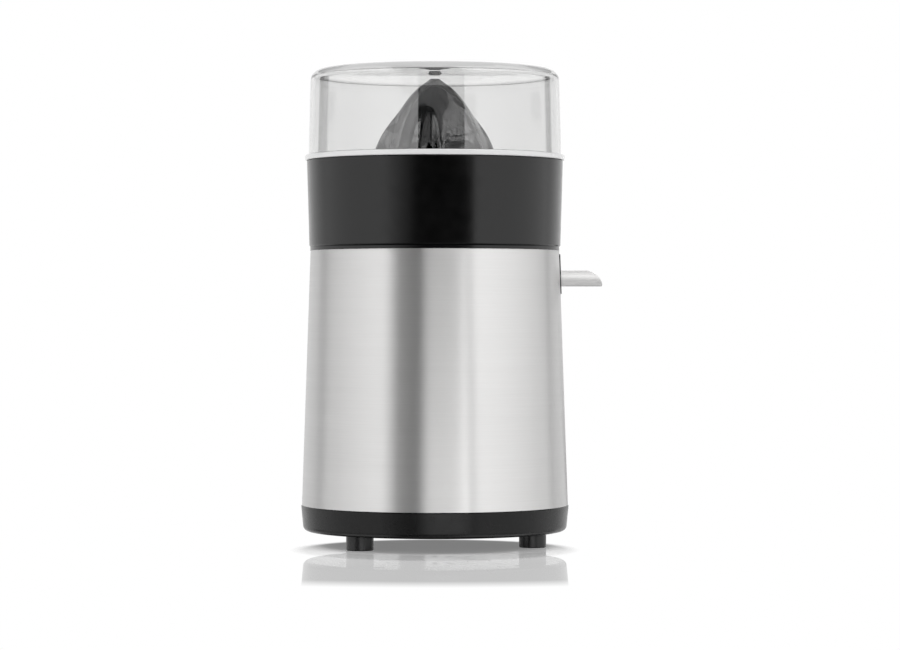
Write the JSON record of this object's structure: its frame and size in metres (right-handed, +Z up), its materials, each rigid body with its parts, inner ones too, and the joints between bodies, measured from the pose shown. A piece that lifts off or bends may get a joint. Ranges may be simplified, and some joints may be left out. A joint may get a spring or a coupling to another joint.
{
  "type": "electric citrus juicer",
  "caption": "Motor-driven citrus press: ribbed cone under a clear lid, juice bowl with folding spout, steel-jacketed housing, started by pressing the cone.",
  "frame": {"origin": "on the spin axis, at the table level that the feet stand on", "axes": "+Z up along the spin axis, +X towards the spout"},
  "size_m": [0.1668, 0.1469, 0.2611],
  "materials": {
    "clear_plastic": "clear polished plastic",
    "cone_plastic": "glossy dark grey plastic",
    "black_plastic": "fine satin black plastic",
    "jacket_steel": "stainless steel brushed round the axis",
    "spout_steel": "polished stainless steel",
    "black_rubber": "matt black rubber",
    "strainer_plastic": "satin dark grey plastic",
    "frame_plastic": "glass-filled grey plastic",
    "gear_plastic": "ivory bearing plastic",
    "bright_steel": "ground steel",
    "zinc_steel": "zinc-plated steel",
    "spring_steel": "drawn spring wire",
    "bronze": "sintered bronze",
    "laminated_steel": "lacquered steel laminations",
    "ferrite": "dark ceramic magnet",
    "bobbin_plastic": "natural moulded plastic",
    "copper": "enamelled copper wire",
    "switch_plastic": "moulded black plastic",
    "tinned_brass": "tinned brass"
  },
  "bodies": {
    "housing": {"base": "black_plastic", "feet": "black_rubber", "base_screws": "zinc_steel", "cord_gland": "black_rubber", "jacket": "jacket_steel", "deck": "black_plastic", "shaft_seal": "black_rubber", "gearbox_upper": "frame_plastic", "gearbox_middle": "frame_plastic", "gearbox_lower": "frame_plastic", "gearbox_screws": "zinc_steel", "drive_bush": "bronze", "idler_axle": "bright_steel", "return_spring": "spring_steel", "start_switch": "switch_plastic", "switch_terminals": "tinned_brass", "motor_bushes": "bronze", "stator_core": "laminated_steel", "coil_bobbins": "bobbin_plastic", "coil_windings": "copper", "motor_bracket": "zinc_steel", "motor_screws": "zinc_steel"},
    "rotor": {"motor_shaft": "bright_steel", "rotor_magnet": "ferrite", "motor_pinion": "bright_steel", "thrust_washer": "bright_steel"},
    "idler": {"idler_gear": "gear_plastic"},
    "collar": {"press_collar": "gear_plastic"},
    "drive": {"drive_shaft": "bright_steel", "output_gear": "gear_plastic", "gear_pin": "bright_steel"},
    "cone": {"cone": "cone_plastic"},
    "plunger": {"switch_plunger": "switch_plastic"},
    "bowl": {"juice_bowl": "black_plastic", "outlet_gasket": "black_rubber", "spout_pin": "bright_steel", "strainer": "strainer_plastic"},
    "spout": {"spout": "spout_steel"},
    "lid": {"lid": "clear_plastic"}
  },
  "joints": [
    {"name": "rotor_spin", "type": "hinge", "parent": "housing", "child": "rotor", "pos_m": [0, 0, 0.06], "axis": [0, 0, 1], "continuous": true},
    {"name": "idler_spin", "type": "hinge", "parent": "housing", "child": "idler", "pos_m": [-0.032, 0, 0.11], "axis": [0, 0, 1], "continuous": true},
    {"name": "press", "type": "slide", "parent": "housing", "child": "collar", "axis": [0, 0, -1], "range_m": [0, 0.002], "stiffness_N_per_m": 2000, "springref_m": -0.003, "deforming": ["return_spring"]},
    {"name": "drive_spin", "type": "hinge", "parent": "collar", "child": "drive", "pos_m": [0, 0, 0.125], "axis": [0, 0, 1], "continuous": true},
    {"name": "cone_lift", "type": "slide", "parent": "drive", "child": "cone", "axis": [0, 0, 1], "range_m": [0, 0.06]},
    {"name": "switch_press", "type": "slide", "parent": "housing", "child": "plunger", "axis": [0, 0, -1], "range_m": [0, 0.002]},
    {"name": "bowl_lift", "type": "slide", "parent": "housing", "child": "bowl", "axis": [0, 0, 1], "range_m": [0, 0.06]},
    {"name": "lid_lift", "type": "slide", "parent": "bowl", "child": "lid", "axis": [0, 0, 1], "range_m": [0, 0.06]},
    {"name": "spout_fold", "type": "hinge", "parent": "bowl", "child": "spout", "pos_m": [0.06347, 0, 0.1464], "axis": [0, -1, 0], "range_deg": [0, 35]}
  ],
  "couplings": [
    {"joint": "idler_spin", "follows": "rotor_spin", "ratio": -0.17647},
    {"joint": "drive_spin", "follows": "rotor_spin", "ratio": 0.040724},
    {"joint": "switch_press", "follows": "press", "ratio": 1},
    {"joint": "cone_lift", "follows": "bowl_lift", "ratio": 1}
  ]
}
